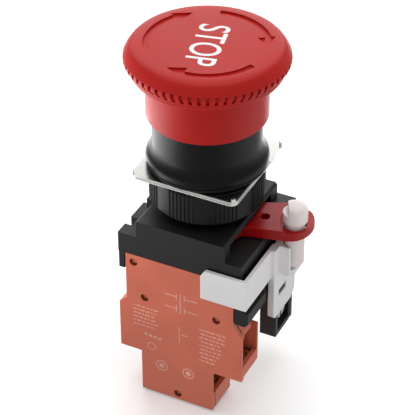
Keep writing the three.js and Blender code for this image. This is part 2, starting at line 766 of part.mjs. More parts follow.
function legHollow() {
  const neck = NECK_X - SKIN;
  const lug = LUG_X - SKIN;
  const legIn = LEG.inner + 0.8;
  const lugTop = SHOULDER.low - 0.4;
  return [
    [-neck, BLOCK_TOP - SKIN],
    [-neck, SHOULDER.high],
    [-lug, lugTop],
    [-lug, LEG_WINDOW.bottom],
    [-legIn, LEG_WINDOW.bottom],
    [-legIn, LEG.crotch + SKIN],
    [legIn, LEG.crotch + SKIN],
    [legIn, LEG_WINDOW.bottom],
    [lug, LEG_WINDOW.bottom],
    [lug, lugTop],
    [neck, SHOULDER.high],
    [neck, BLOCK_TOP - SKIN],
  ];
}

function auxCase() {
  const shell = blockSlab(REAR, legOutline(), BLOCK_Y.inner, CASE_Y);
  const hollow = blockSlab(REAR, legHollow(), FLOOR_Y, BLOCK_Y.outer + 1);
  const { near, far, bottom, top } = LEG_WINDOW;
  const windows = [-1, 1].map((side) => (
    blockBox(REAR, (LUG_X - SKIN - 0.5) * side, (LUG_X + 1) * side, near, far, bottom, top)
  ));
  const shankHoles = [-1, 1].map((side) => (
    rodAlongX(1.6, CONTACT_Y, AUX_SCREW_Z, (LEG.inner - 1) * side, (LEG.inner + 2) * side)
  ));
  return carve(shell, [], [hollow, stemHole(REAR), ...windows, ...shankHoles]);
}

function auxCover() {
  return blockSlab(REAR, legOutline(), COVER_Y, BLOCK_Y.outer);
}

// Fixed contact of the auxiliary block, bent outwards into its leg.
function auxTerminal(hand) {
  const part = (a, b, near, far, z0, z1) => blockBox(REAR, a * hand, b * hand, near, far, z0, z1);
  const strip = part(5.8, 12.0, 8.0, 12.0, -36.4, -35.6);
  const riser = part(11.2, 12.0, 8.0, 12.0, -42.0, -35.6);
  const jog = part(11.2, 14.3, 8.0, 12.0, -42.0, -41.2);
  const plate = part(13.5, 14.3, 7.0, 13.0, -52.8, -41.2);
  const pad = rod(1.2, 7.0 * hand, CONTACT_Y, -35.7, -35.0, 16);
  const hole = rodAlongX(1.6, CONTACT_Y, AUX_SCREW_Z, 13 * hand, 15 * hand);
  return carve(strip, [riser, jog, plate, pad], [hole]);
}

function auxScrew(hand) {
  const head = rodAlongX(2.8, CONTACT_Y, AUX_SCREW_Z, 14.6 * hand, 16.4 * hand);
  const shank = rodAlongX(1.3, CONTACT_Y, AUX_SCREW_Z, 12.7 * hand, 14.8 * hand);
  const [y0, y1] = [CONTACT_Y - 0.4, CONTACT_Y + 0.4];
  const slot = box(15.8 * hand, 17 * hand, y0, y1, AUX_SCREW_Z - 3.5, AUX_SCREW_Z + 3.5);
  return carve(head, [shank], [slot]);
}

// ---------------------------------------------------------------- assembly

addPiece('head_cap', headCap(), RED);
addPiece('turn_sleeve', turnSleeve(), WHITE);
addPiece('head_return_spring', coil(6.4, 0.42, 4.2, 3.5, 12), SPRING_STEEL).position.z = 23.2;
addPiece('plunger_shaft', plungerShaft(), BLACK);
addPiece('pusher_foot', pusherFoot(), BLACK);
addPiece('plunger_return_spring', coil(7.2, 0.5, 17.4, 6.5, 12), SPRING_STEEL).position.z = WEB_TOP + 0.8;
addPiece('shaft_seal', ring(SHAFT_R + 0.2, 6.2, WEB_TOP + GAP, WEB_TOP + 2.0, 24), RUBBER);
addPiece('operator_housing', operatorHousing(), BLACK);
addPiece('latch_deck', latchDeck(), BLACK);
addPiece('latch_slider', latchSlider(), WHITE);
const latchSpring = addPiece('latch_spring', coil(0.7, 0.14, 1.6, 4), SPRING_STEEL);
latchSpring.rotation.y = Math.PI / 2;
latchSpring.position.set(9.9, 0, LATCH_Z + LATCH_THICK / 2);
addPiece('panel_gasket', ring(GASKET.bore, GASKET.r, 0, GASKET.high), RUBBER);
addPiece('lock_plate', lockPlate(), STEEL);
addPiece('mounting_nut', ring(NUT.bore, NUT.r, NUT.low, NUT.high, 48), BLACK_NUT);

addPiece('latch_base', latchBase(), BLACK);
addPiece('release_lever', releaseLever(), LEVER_RED);
addPiece('lock_pin', lockPin(), NATURAL);
addPiece('lock_clip', lockClip(), WHITE);

const ncUpper = { bridgeLow: -31.6, springLow: -37.0 };
const ncLower = { bridgeLow: -45.6, springLow: -50.6 };
const NC_CARRIER_BOTTOM = -51.6;
addPiece('nc_block_case', ncCase(), ORANGE);
addPiece('nc_block_cover', ncCover(), ORANGE);
const ncWindows = [[-37.5, -30.5], [-51.0, -44.5]];
addPiece('nc_carrier', contactCarrier(FRONT, NC_CARRIER_BOTTOM, ncWindows), BLACK);
addPiece('nc_bridge_upper', bridge(FRONT, -8.4, 8.4, ncUpper.bridgeLow), BRASS);
addPiece('nc_bridge_lower', bridge(FRONT, -9.2, 7.8, ncLower.bridgeLow), BRASS);
for (const [name, pole] of [['upper', ncUpper], ['lower', ncLower]]) {
  const length = pole.bridgeLow - pole.springLow - 0.5;
  const spring = addPiece(`nc_contact_spring_${name}`, coil(1.5, 0.22, length, 4), SPRING_STEEL);
  spring.position.set(0, -CONTACT_Y, pole.springLow);
}
const ncReturn = addPiece('nc_return_spring', coil(2.2, 0.3, 10.4, 7), SPRING_STEEL);
ncReturn.position.set(0, -CONTACT_Y, NC_CARRIER_BOTTOM - 11.1);
for (const [name, hand] of [['left', -1], ['right', 1]]) {
  addPiece(`nc_terminal_upper_${name}`, lugTerminal(hand), BRASS);
  addPiece(`nc_terminal_lower_${name}`, tongueTerminal(hand), BRASS);
}
const SCREW_HEAD_LOW = { lug: LUG_BOTTOM + 0.2, tongue: TONGUE.bottom + 1.5 };
LUG_SCREWS.forEach((x, i) => {
  const screw = terminalScrew(x, -CONTACT_Y, SCREW_HEAD_LOW.lug, 2.4, 1.6, 1.4, -50.3);
  addPiece(`nc_screw_upper_${['left', 'right'][i]}`, screw, STEEL);
});
TONGUE_SCREWS.forEach((x, i) => {
  const screw = terminalScrew(x, -CONTACT_Y, SCREW_HEAD_LOW.tongue, 2.0, 1.6, 1.1, -61.3);
  addPiece(`nc_screw_lower_${['left', 'right'][i]}`, screw, STEEL);
});

const AUX_CARRIER_BOTTOM = -37.6;
addPiece('aux_block_case', auxCase(), BLACK);
addPiece('aux_block_cover', auxCover(), BLACK);
addPiece('aux_carrier', contactCarrier(REAR, AUX_CARRIER_BOTTOM, [[-36.6, -29.6]]), BLACK);
addPiece('aux_bridge', bridge(REAR, -8.4, 8.4, -30.7), BRASS);
const auxSpring = addPiece('aux_contact_spring', coil(1.5, 0.22, 4.6, 4), SPRING_STEEL);
auxSpring.position.set(0, CONTACT_Y, -36.0);
const auxReturn = addPiece('aux_return_spring', coil(2.2, 0.3, 6.0, 5), SPRING_STEEL);
auxReturn.position.set(0, CONTACT_Y, AUX_CARRIER_BOTTOM - 6.6);
for (const [name, hand] of [['left', -1], ['right', 1]]) {
  addPiece(`aux_terminal_${name}`, auxTerminal(hand), BRASS);
  addPiece(`aux_screw_${name}`, auxScrew(hand), STEEL);
}

export default group;
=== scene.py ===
"""Looks of the emergency stop button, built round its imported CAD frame.

Z is the barrel's axis, with 0 in the plane of the panel's front; -Y is the broad face of the orange
block and +X is the lever's side. Angles are in degrees from +X, and lights are in watts.
"""

import json
import math

import bmesh
import bpy
from mathutils import Matrix, Vector


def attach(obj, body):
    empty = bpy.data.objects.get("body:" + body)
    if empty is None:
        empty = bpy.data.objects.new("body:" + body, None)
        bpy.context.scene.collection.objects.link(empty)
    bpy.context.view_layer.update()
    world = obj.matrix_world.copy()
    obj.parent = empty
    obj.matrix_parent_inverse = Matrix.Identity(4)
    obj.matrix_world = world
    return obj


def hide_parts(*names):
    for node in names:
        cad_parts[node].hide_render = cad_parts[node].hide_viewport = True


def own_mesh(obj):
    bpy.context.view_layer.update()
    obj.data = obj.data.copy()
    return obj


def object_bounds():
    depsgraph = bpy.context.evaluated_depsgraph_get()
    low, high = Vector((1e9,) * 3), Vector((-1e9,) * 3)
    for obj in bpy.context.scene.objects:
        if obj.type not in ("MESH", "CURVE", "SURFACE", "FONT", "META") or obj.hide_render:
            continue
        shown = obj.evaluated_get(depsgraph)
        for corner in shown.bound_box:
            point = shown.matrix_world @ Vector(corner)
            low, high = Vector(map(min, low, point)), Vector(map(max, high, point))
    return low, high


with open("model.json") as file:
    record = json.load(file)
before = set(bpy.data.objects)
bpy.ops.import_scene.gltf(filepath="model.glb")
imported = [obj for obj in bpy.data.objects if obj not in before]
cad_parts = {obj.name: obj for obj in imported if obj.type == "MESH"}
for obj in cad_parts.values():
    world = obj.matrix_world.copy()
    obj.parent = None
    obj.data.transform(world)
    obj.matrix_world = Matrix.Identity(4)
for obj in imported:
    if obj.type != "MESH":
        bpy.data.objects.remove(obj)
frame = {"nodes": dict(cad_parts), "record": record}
CAD_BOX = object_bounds()

MM = 0.001
CAD_FOOT, CAD_TOP = (round(corner.z / MM, 3) for corner in CAD_BOX)
NODES = frame["nodes"]
SLOTS = {s["node"]: s["material_slot"] for s in frame["record"]["subparts"]}
BODY_OF = {n: b for b, ns in frame["record"]["behaviour"]["bodies"].items() for n in ns}


# ---------------------------------------------------------------- camera, floor and lights

CAMERA_PLACE = (160.28, -325.85, 250.77)
CAMERA_TARGET = (0, 0, -15.0)
LENS = 156.8
SENSOR_WIDTH = 36.0

WORLD_STRENGTH = 0.56
# Soft lights over and behind the button: name, place, size and power.
SOFT_LIGHTS = (
    ("top_soft", (-44, 90, 620), (520, 420), 1.8),
    ("backdrop", (-247, 502, 200), (600, 300), 1.7),
)
# The pale table throws light up from beside and behind the button: name, centre, size and power.
TABLE_LIGHTS = (
    ("table_left", (-233, -115), (300, 360), 1.6),
    ("table_right", (233, 115), (300, 360), 0.28),
    ("table_back", (-115, 233), (300, 300), 1.0),
)
TABLE_LIGHT_Z = -62
FLOOR_HALF = 3000
FLOOR_CELLS = 8
FLOOR_GAP = 0.6


def look_at(obj, place, target):
    obj.location = Vector(place) * MM
    aim = (Vector(target) - Vector(place)).to_track_quat("-Z", "Y")
    obj.rotation_euler = aim.to_euler()


def make_camera():
    data = bpy.data.cameras.new("camera")
    data.sensor_fit = "HORIZONTAL"
    data.sensor_width = SENSOR_WIDTH
    data.lens = LENS
    data.clip_start = 0.01
    data.clip_end = 20.0
    camera = bpy.data.objects.new("camera", data)
    bpy.context.scene.collection.objects.link(camera)
    look_at(camera, CAMERA_PLACE, CAMERA_TARGET)
    bpy.context.scene.camera = camera


def area_light(name, place, target, size, power):
    data = bpy.data.lights.new(name, "AREA")
    data.shape = "RECTANGLE"
    data.size = size[0] * MM
    data.size_y = size[1] * MM
    data.energy = power
    light = bpy.data.objects.new(name, data)
    bpy.context.scene.collection.objects.link(light)
    look_at(light, place, target)
    return light


def make_lights():
    world = bpy.data.worlds.new("studio")
    bpy.context.scene.world = world
    world.use_nodes = True
    background = world.node_tree.nodes["Background"]
    background.inputs["Color"].default_value = (1.0, 1.0, 1.0, 1.0)
    background.inputs["Strength"].default_value = WORLD_STRENGTH
    for name, light_place, size, power in SOFT_LIGHTS:
        area_light(name, light_place, (0, 0, 0), size, power)
    for name, centre, size, power in TABLE_LIGHTS:
        light = area_light(name, (*centre, TABLE_LIGHT_Z), (*centre, 100), size, power)
        light.visible_camera = False


def make_floor():
    bm = bmesh.new()
    bmesh.ops.create_grid(bm, x_segments=FLOOR_CELLS, y_segments=FLOOR_CELLS, size=FLOOR_HALF * MM)
    mesh = bpy.data.meshes.new("floor")
    bm.to_mesh(mesh)
    bm.free()
    floor = bpy.data.objects.new("floor", mesh)
    floor.location = (0, 0, CAD_BOX[0].z - FLOOR_GAP * MM)
    bpy.context.scene.collection.objects.link(floor)
    mesh.materials.append(paper("floor_paper"))
    floor.visible_glossy = False
    floor.visible_diffuse = False


def make_studio():
    settings = bpy.context.scene.view_settings
    settings.view_transform = "Standard"
    settings.look = "None"
    make_lights()
    make_floor()


# ---------------------------------------------------------------- shader nodes

def new_material(name):
    material = bpy.data.materials.new(name)
    material.use_nodes = True
    tree = material.node_tree
    tree.nodes.clear()
    out = tree.nodes.new("ShaderNodeOutputMaterial")
    shader = tree.nodes.new("ShaderNodeBsdfPrincipled")
    tree.links.new(shader.outputs["BSDF"], out.inputs["Surface"])
    return material, tree, shader


def noise_node(tree, scale, detail=3.0, rough=0.55, stretch=(1, 1, 1)):
    """Noise of the given number of features per metre."""
    coord = tree.nodes.new("ShaderNodeTexCoord")
    mapping = tree.nodes.new("ShaderNodeMapping")
    mapping.inputs["Scale"].default_value = stretch
    noise = tree.nodes.new("ShaderNodeTexNoise")
    noise.inputs["Scale"].default_value = scale
    noise.inputs["Detail"].default_value = detail
    noise.inputs["Roughness"].default_value = rough
    tree.links.new(coord.outputs["Object"], mapping.inputs["Vector"])
    tree.links.new(mapping.outputs["Vector"], noise.inputs["Vector"])
    return noise.outputs["Fac"]


def remap(tree, value, a, b, lo, hi):
    """The value, with a turned into lo and b into hi."""
    node = tree.nodes.new("ShaderNodeMapRange")
    node.inputs["From Min"].default_value = a
    node.inputs["From Max"].default_value = b
    node.inputs["To Min"].default_value = lo
    node.inputs["To Max"].default_value = hi
    tree.links.new(value, node.inputs["Value"])
    return node.outputs["Result"]


def times(tree, a, b):
    node = tree.nodes.new("ShaderNodeMath")
    node.operation = "MULTIPLY"
    tree.links.new(a, node.inputs[0])
    tree.links.new(b, node.inputs[1])
    return node.outputs["Value"]


def blend_colors(tree, factor, a, b):
    """From a to b as factor goes from 0 to 1; each is a colour or a socket."""
    node = tree.nodes.new("ShaderNodeMix")
    node.data_type = "RGBA"
    for socket, value in (("A", a), ("B", b)):
        target = [s for s in node.inputs if s.name == socket and s.type == "RGBA"][0]
        if isinstance(value, tuple):
            target.default_value = (*value, 1.0)
        else:
            tree.links.new(value, target)
    tree.links.new(factor, node.inputs[0])
    return [s for s in node.outputs if s.type == "RGBA"][0]


def edge_mask(tree, radius):
    """1 on edges and corners, within the radius, and 0 on flats."""
    bevel = tree.nodes.new("ShaderNodeBevel")
    bevel.samples = 4
    bevel.inputs["Radius"].default_value = radius * MM
    geometry = tree.nodes.new("ShaderNodeNewGeometry")
    dot = tree.nodes.new("ShaderNodeVectorMath")
    dot.operation = "DOT_PRODUCT"
    tree.links.new(bevel.outputs["Normal"], dot.inputs[0])
    tree.links.new(geometry.outputs["Normal"], dot.inputs[1])
    return remap(tree, dot.outputs["Value"], 0.99, 0.75, 0.0, 1.0)


def painted_recess_shade_mask(tree, reach, deepest):
    """Painted shade for recesses, from ambient occlusion: 1 in the open, down to deepest far inside them.
    """
    node = tree.nodes.new("ShaderNodeAmbientOcclusion")
    node.samples = 8
    node.inputs["Distance"].default_value = reach * MM
    return remap(tree, node.outputs["AO"], 0.15, 0.6, deepest, 1.0)


def bump(tree, shader, height, distance):
    node = tree.nodes.new("ShaderNodeBump")
    node.inputs["Strength"].default_value = 1.0
    node.inputs["Distance"].default_value = distance * MM
    tree.links.new(height, node.inputs["Height"])
    tree.links.new(node.outputs["Normal"], shader.inputs["Normal"])


def shade(color, factor):
    return tuple(min(1.0, c * factor) for c in color)


# ---------------------------------------------------------------- materials

# Scales of noise, in features per metre.
MOTTLE_SCALE = 85.0
WEAR_AND_SHEEN_SCALE = 420.0
PLATING_SCALE = 160.0
PAPER_SCALE = 30.0

# Paler edges, partly rubbed wear and partly a painted highlight: their reach in mm and the brightness
# added to them.
WEAR_AND_SHEEN_EDGE = 0.35
WEAR_AND_SHEEN_LIFT = 0.012
# Painted shade in recesses: how far it reaches, in mm, and the share of the colour left at its darkest.
PAINTED_SHADE_REACH = 6.0
PAINTED_SHADE_TONE = 0.1
GLOW_REACH = 1.2
COAT_ROUGHNESS = 0.25


def plastic(name, color, rough, grain, depth, mottle, wear_and_sheen, lift,
            specular=0.5, coat=0.0, glow=0.0, painted_recess_shade=None):
    """Moulded plastic: fine spark-eroded grain, faint mottling and paler edges, partly rubbed and partly
    a painted highlight.

    grain and depth are the size and height of the grain, mottle is the swing in brightness, and the
    next two are how much of the paler colour shows on edges and how much paler it is; the paler edges
    are partly rubbed wear and partly a painted highlight. glow is the light that passes under the
    surface. The last argument is how much of the colour still shows deep in openings, over a much
    darker painted shade of it.
    """
    material, tree, shader = new_material(name)
    broad = noise_node(tree, MOTTLE_SCALE, 4.0)
    fine = noise_node(tree, 1000.0 / grain, 2.0, 0.6)
    body = blend_colors(tree, remap(tree, broad, 0.3, 0.7, 0.0, 1.0),
                        shade(color, 1.0 - mottle), shade(color, 1.0 + mottle))
    # Paler edges in patches, partly rubbed wear and partly a painted highlight.
    patchy = remap(tree, noise_node(tree, WEAR_AND_SHEEN_SCALE, 3.0), 0.35, 0.7, 0.15, 1.0)
    edges = times(tree, edge_mask(tree, WEAR_AND_SHEEN_EDGE), patchy)
    worn_and_lit_tone = tuple(min(1.0, c * lift + WEAR_AND_SHEEN_LIFT) for c in color)
    tone = blend_colors(tree, remap(tree, edges, 0.0, 1.0, 0.0, wear_and_sheen), body, worn_and_lit_tone)
    # Painted shade: deep inside recesses the colour goes over to a much darker shade of it.
    if painted_recess_shade is not None:
        openness = painted_recess_shade_mask(tree, PAINTED_SHADE_REACH, painted_recess_shade)
        tone = blend_colors(tree, openness, shade(color, PAINTED_SHADE_TONE), tone)
    tree.links.new(tone, shader.inputs["Base Color"])
    gloss = remap(tree, broad, 0.25, 0.75, rough - 0.05, rough + 0.07)
    tree.links.new(gloss, shader.inputs["Roughness"])
    bump(tree, shader, fine, depth)
    shader.inputs["Specular IOR Level"].default_value = specular
    shader.inputs["Coat Weight"].default_value = coat
    shader.inputs["Coat Roughness"].default_value = COAT_ROUGHNESS
    if glow:
        shader.inputs["Subsurface Weight"].default_value = glow
        shader.inputs["Subsurface Radius"].default_value = (1.0, 0.8, 0.6)
        shader.inputs["Subsurface Scale"].default_value = GLOW_REACH * MM
    return material


def metal(name, color, rough, grain, depth, stretch=(1, 1, 1), tint=0.12, wear_and_sheen=0.3,
          edge=0.2, edge_metal=1.0, edge_tone=1.25, spread=1.0):
    """Plated or drawn metal with directional grain, dull patches and edges brightened by painted
    highlight and wear.

    stretch draws the grain out along an axis, tint is the swing in brightness and spread is the share
    of the usual swing in gloss. edge is how far the edges' painted highlight and wear reach, edge_tone
    how bright they are, edge_metal how metallic they still are and the argument after tint how much
    of them shows.
    """
    material, tree, shader = new_material(name)
    lines = noise_node(tree, 1000.0 / grain, 3.0, 0.6, stretch)
    broad = noise_node(tree, PLATING_SCALE, 3.0)
    body = blend_colors(tree, remap(tree, broad, 0.3, 0.7, 0.0, 1.0),
                        shade(color, 1.0 - tint), shade(color, 1.0 + tint * 0.6))
    # Painted highlight, with some wear: edges turn to a brighter colour, less metallic where asked.
    edges = edge_mask(tree, edge)
    tone = blend_colors(tree, remap(tree, edges, 0.0, 1.0, 0.0, wear_and_sheen), body, shade(color, edge_tone))
    tree.links.new(tone, shader.inputs["Base Color"])
    gloss = remap(tree, lines, 0.3, 0.7, rough - 0.08 * spread, rough + 0.1 * spread)
    tree.links.new(gloss, shader.inputs["Roughness"])
    bump(tree, shader, lines, depth)
    if edge_metal < 1.0:
        tree.links.new(remap(tree, edges, 0.0, 1.0, 1.0, edge_metal), shader.inputs["Metallic"])
    else:
        shader.inputs["Metallic"].default_value = 1.0
    return material


def paper(name):
    """Pale matt paper that also gives off a little light, for the floor."""
    material, tree, shader = new_material(name)
    fibre = noise_node(tree, PAPER_SCALE, 2.0)
    tone = blend_colors(tree, fibre, (0.93, 0.93, 0.93), (0.96, 0.96, 0.96))
    tree.links.new(tone, shader.inputs["Base Color"])
    shader.inputs["Roughness"].default_value = 0.9
    shader.inputs["Specular IOR Level"].default_value = 0.1
    shader.inputs["Emission Color"].default_value = (1.0, 1.0, 1.0, 1.0)
    shader.inputs["Emission Strength"].default_value = 0.22
    return material


# The paler edges are partly rubbed wear and partly a painted highlight; a recess setting paints shade
# deep in openings.
PLASTICS = {
    "head_red": dict(
        color=(0.46, 0.011, 0.008), rough=0.46, grain=0.30, depth=0.010,
        mottle=0.06, wear_and_sheen=0.75, lift=1.55, specular=0.18),
    "lever_red": dict(
        color=(0.36, 0.004, 0.006), rough=0.32, grain=0.40, depth=0.008,
        mottle=0.08, wear_and_sheen=0.8, lift=1.9, specular=0.2, coat=0.1),
    "housing_black": dict(
        color=(0.0040, 0.0041, 0.0044), rough=0.38, grain=0.30, depth=0.010,
        mottle=0.12, wear_and_sheen=0.5, lift=2.2, specular=0.16),
    "base_black": dict(
        color=(0.012, 0.0122, 0.0122), rough=0.50, grain=0.22, depth=0.014,
        mottle=0.12, wear_and_sheen=0.55, lift=2.2, specular=0.3, painted_recess_shade=0.25),
    "nut_black": dict(
        color=(0.007, 0.007, 0.0072), rough=0.45, grain=0.25, depth=0.012,
        mottle=0.12, wear_and_sheen=0.6, lift=2.4, specular=0.22, painted_recess_shade=0.3),
    "block_black": dict(
        color=(0.015, 0.0153, 0.0160), rough=0.42, grain=0.25, depth=0.012,
        mottle=0.12, wear_and_sheen=0.5, lift=2.2, specular=0.4),
    "black_plastic": dict(
        color=(0.020, 0.020, 0.021), rough=0.45, grain=0.30, depth=0.010,
        mottle=0.10, wear_and_sheen=0.4, lift=2.0),
    "block_orange": dict(
        color=(0.71, 0.160, 0.090), rough=0.46, grain=0.24, depth=0.012,
        mottle=0.08, wear_and_sheen=0.35, lift=1.25, painted_recess_shade=0.1),
    "clip_white": dict(
        color=(0.86, 0.85, 0.845), rough=0.40, grain=0.35, depth=0.008,
        mottle=0.03, wear_and_sheen=0.3, lift=1.08),
    "natural_plastic": dict(
        color=(0.86, 0.77, 0.76), rough=0.34, grain=0.5, depth=0.008,
        mottle=0.05, wear_and_sheen=0.2, lift=1.1, coat=0.1, glow=0.35),
    "white_plastic": dict(
        color=(0.74, 0.73, 0.70), rough=0.40, grain=0.35, depth=0.008,
        mottle=0.04, wear_and_sheen=0.2, lift=1.1),
    "black_rubber": dict(
        color=(0.010, 0.010, 0.0105), rough=0.75, grain=0.18, depth=0.016,
        mottle=0.18, wear_and_sheen=0.3, lift=1.8, specular=0.3),
}
METALS = {
    # The plate's edge strip is painted near white as a highlight, with no metal there.
    "plate_steel": dict(
        color=(0.47, 0.48, 0.455), rough=0.24, grain=0.40, depth=0.00008, stretch=(0.12, 1, 1),
        tint=0.03, wear_and_sheen=1.0, edge=0.8, edge_metal=0.0, edge_tone=2.1, spread=0.3),
    "screw_steel": dict(color=(0.62, 0.62, 0.61), rough=0.34, grain=0.18, depth=0.004),
    "spring_steel": dict(
        color=(0.56, 0.57, 0.58), rough=0.30, grain=0.15, depth=0.003, stretch=(1, 1, 0.2)),
    "contact_brass": dict(
        color=(0.70, 0.50, 0.24), rough=0.32, grain=0.20, depth=0.003, stretch=(1, 1, 0.15)),
}
LOOKS = {slot: plastic(slot, **look) for slot, look in PLASTICS.items()}
LOOKS.update((slot, metal(slot, **look)) for slot, look in METALS.items())
INK_WHITE = plastic("ink_white", (0.86, 0.84, 0.84), rough=0.5, grain=0.2, depth=0.006,
                    mottle=0.03, wear_and_sheen=0.1, lift=1.05)
INK_PALE = plastic("ink_pale", (0.84, 0.37, 0.29), rough=0.55, grain=0.2, depth=0.004,
                   mottle=0.22, wear_and_sheen=0.1, lift=1.05)


# ---------------------------------------------------------------- mesh helpers

SHARP = 35.0
BEVEL_ANGLE = 30.0
WELD = 0.001
FLAT_ANGLE = 0.8
ARC_STEPS = 4


def mark_sharp(bm, sharp):
    """Smooth shading, except at edges sharper than the angle."""
    limit = math.radians(sharp)
    for face in bm.faces:
        face.smooth = True
    for edge in bm.edges:
        edge.smooth = not (len(edge.link_faces) == 2 and edge.calc_face_angle(0.0) > limit)


def finish_mesh(bm, name, sharp=SHARP):
    """Makes an object from bm and frees bm."""
    bmesh.ops.recalc_face_normals(bm, faces=bm.faces)
    mark_sharp(bm, sharp)
    mesh = bpy.data.meshes.new(name)
    bm.to_mesh(mesh)
    bm.free()
    obj = bpy.data.objects.new(name, mesh)
    bpy.context.scene.collection.objects.link(obj)
    return obj


def place(obj, slot, body, *nodes, look=None):
    """Gives a piece its look, its slot and its body, and hides the CAD nodes it stands for."""
    obj.data.materials.clear()
    obj.data.materials.append(look or LOOKS[slot])
    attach(obj, body)
    if nodes:
        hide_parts(*nodes)
    return obj


def stand_for(obj, node):
    return place(obj, SLOTS[node], BODY_OF[node], node)


def round_edges(obj, width, segments=2):
    bevel = obj.modifiers.new("edges", "BEVEL")
    bevel.width = width * MM
    bevel.segments = segments
    bevel.limit_method = "ANGLE"
    bevel.angle_limit = math.radians(BEVEL_ANGLE)
    bevel.harden_normals = True
    bevel.miter_outer = "MITER_ARC"
    return obj


def refined(node, name, width, segments, sharp):
    """The CAD node's own mesh, with flat faces joined up and edges rounded."""
    bm = bmesh.new()
    bm.from_mesh(NODES[node].data)
    bmesh.ops.remove_doubles(bm, verts=bm.verts, dist=WELD * MM)
    bmesh.ops.dissolve_limit(bm, angle_limit=math.radians(FLAT_ANGLE), verts=bm.verts, edges=bm.edges)
    return round_edges(stand_for(finish_mesh(bm, name, sharp), node), width, segments)


def lathe_mesh(profile, steps, shift=None):
    """Closed solid of revolution.

    profile is a loop of (radius, z), or a line from axis to axis. shift(r, z, turn) gives the change
    of radius at a place.
    """
    bm = bmesh.new()
    rings = []
    for r, z in profile:
        if r < 1e-6:
            rings.append([bm.verts.new((0, 0, z * MM))])
            continue
        ring = []
        for i in range(steps):
            turn = 360.0 * i / steps
            rr = r + (shift(r, z, turn) if shift else 0.0)
            a = math.radians(turn)
            ring.append(bm.verts.new((rr * math.cos(a) * MM, rr * math.sin(a) * MM, z * MM)))
        rings.append(ring)
    pairs = list(zip(rings, rings[1:]))
    if len(rings[0]) > 1:
        pairs.append((rings[-1], rings[0]))
    for a, b in pairs:
        for i in range(steps):
            j = (i + 1) % steps
            if len(a) == 1:
                bm.faces.new((a[0], b[i], b[j]))
            elif len(b) == 1:
                bm.faces.new((a[i], a[j], b[0]))
            else:
                bm.faces.new((a[i], a[j], b[j], b[i]))
    return bm


def rounded(profile, cuts):
    """The profile, with arcs for the corners named in cuts, which is {index: size}."""
    points = []
    count = len(profile)
    for i, corner in enumerate(profile):
        if i not in cuts:
            points.append(corner)
            continue
        c = Vector(corner)
        start = c + (Vector(profile[i - 1]) - c).normalized() * cuts[i]
        end = c + (Vector(profile[(i + 1) % count]) - c).normalized() * cuts[i]
        for k in range(ARC_STEPS + 1):
            t = k / ARC_STEPS
            q = start * (1 - t) ** 2 + c * 2 * t * (1 - t) + end * t * t
            points.append((q.x, q.y))
    return points


def curve_through(points, steps=3):
    """Smooth curve through all the points, with the given number of steps from each to the next."""
    padded = [points[0], *points, points[-1]]
    curve = []
    for quad in zip(padded, padded[1:], padded[2:], padded[3:]):
        for k in range(steps):
            t = k / steps
            curve.append(tuple(
                b + 0.5 * t * (c - a + t * (2 * a - 5 * b + 4 * c - d + t * (3 * (b - c) + d - a)))
                for a, b, c, d in zip(*quad)))
    return [*curve, points[-1]]


def slab(outline, z0, z1):
    """Prism over an outline in X and Y."""
    bm = bmesh.new()
    low = [bm.verts.new((x * MM, y * MM, z0 * MM)) for x, y in outline]
    high = [bm.verts.new((x * MM, y * MM, z1 * MM)) for x, y in outline]
    bm.faces.new(low[::-1])
    bm.faces.new(high)
    count = len(outline)
    for i in range(count):
        j = (i + 1) % count
        bm.faces.new((low[i], low[j], high[j], high[i]))
    return bm


def box(x0, x1, y0, y1, z0, z1):
    return slab([(x0, y0), (x1, y0), (x1, y1), (x0, y1)], z0, z1)


def cut(obj, cutter, operation="DIFFERENCE"):
    """Takes the bmesh cutter away from obj's own mesh, or joins it on with UNION, for good."""
    bmesh.ops.recalc_face_normals(cutter, faces=cutter.faces)
    mesh = bpy.data.meshes.new("cutter")
    cutter.to_mesh(mesh)
    cutter.free()
    tool = bpy.data.objects.new("cutter", mesh)
    bpy.context.scene.collection.objects.link(tool)
    modifier = obj.modifiers.new("cut", "BOOLEAN")
    modifier.object = tool
    modifier.operation = operation
    modifier.solver = "EXACT"
    bpy.context.view_layer.update()
    graph = bpy.context.evaluated_depsgraph_get()
    made = bpy.data.meshes.new_from_object(obj.evaluated_get(graph))
    obj.modifiers.clear()
    old = obj.data
    obj.data = made
    bpy.data.meshes.remove(old)
    bpy.data.objects.remove(tool)
    bpy.data.meshes.remove(mesh)
    bm = bmesh.new()
    bm.from_mesh(made)
    mark_sharp(bm, SHARP)
    bm.to_mesh(made)
    bm.free()


# ---------------------------------------------------------------- mushroom head

TEETH = 60
STEPS_PER_TOOTH = 16
TOOTH_LOW = 27.1
TOOTH_HIGH = 30.0
TOOTH_DEPTH = 0.8
TOOTH_FROM_R = 18.66
# Slopes at the top and foot of a groove, then shares of the teeth's pitch.
GROOVE_TOP = 0.2
GROOVE_FOOT = 0.15
GROOVE_HALF = 0.15
GROOVE_WALL = 0.08
TOOTH_PHASE = 0.1
CAP_TOP = CAD_TOP - 0.02

# Each arrow's head and tail, and the sizes that they share.
ARROWS = ((149, 217), (36.5, 104), (274, 342))
ARROW_DEPTH = 0.5
SHAFT_INNER, SHAFT_OUTER = 13.7, 15.3
BARB_INNER, BARB_OUTER = 12.0, 16.3
TIP_R, TIP_LENGTH = 14.4, 19.0
ARROW_STEPS = 14


def smooth_step(t):
    t = min(1.0, max(0.0, t))
    return t * t * (3 - 2 * t)


def tooth_depth(r, z, turn):
    """Square grooves between the teeth of the head's rim, above a plain lip."""
    if r < TOOTH_FROM_R or not TOOTH_LOW < z < TOOTH_HIGH:
        return 0.0
    phase = (turn / (360.0 / TEETH) + TOOTH_PHASE) % 1.0
    tooth = smooth_step((abs(phase - 0.5) - GROOVE_HALF) / GROOVE_WALL)
    fade = smooth_step((TOOTH_HIGH - z) / GROOVE_TOP) * smooth_step((z - TOOTH_LOW) / GROOVE_FOOT)
    return -TOOTH_DEPTH * (1 - tooth) * fade


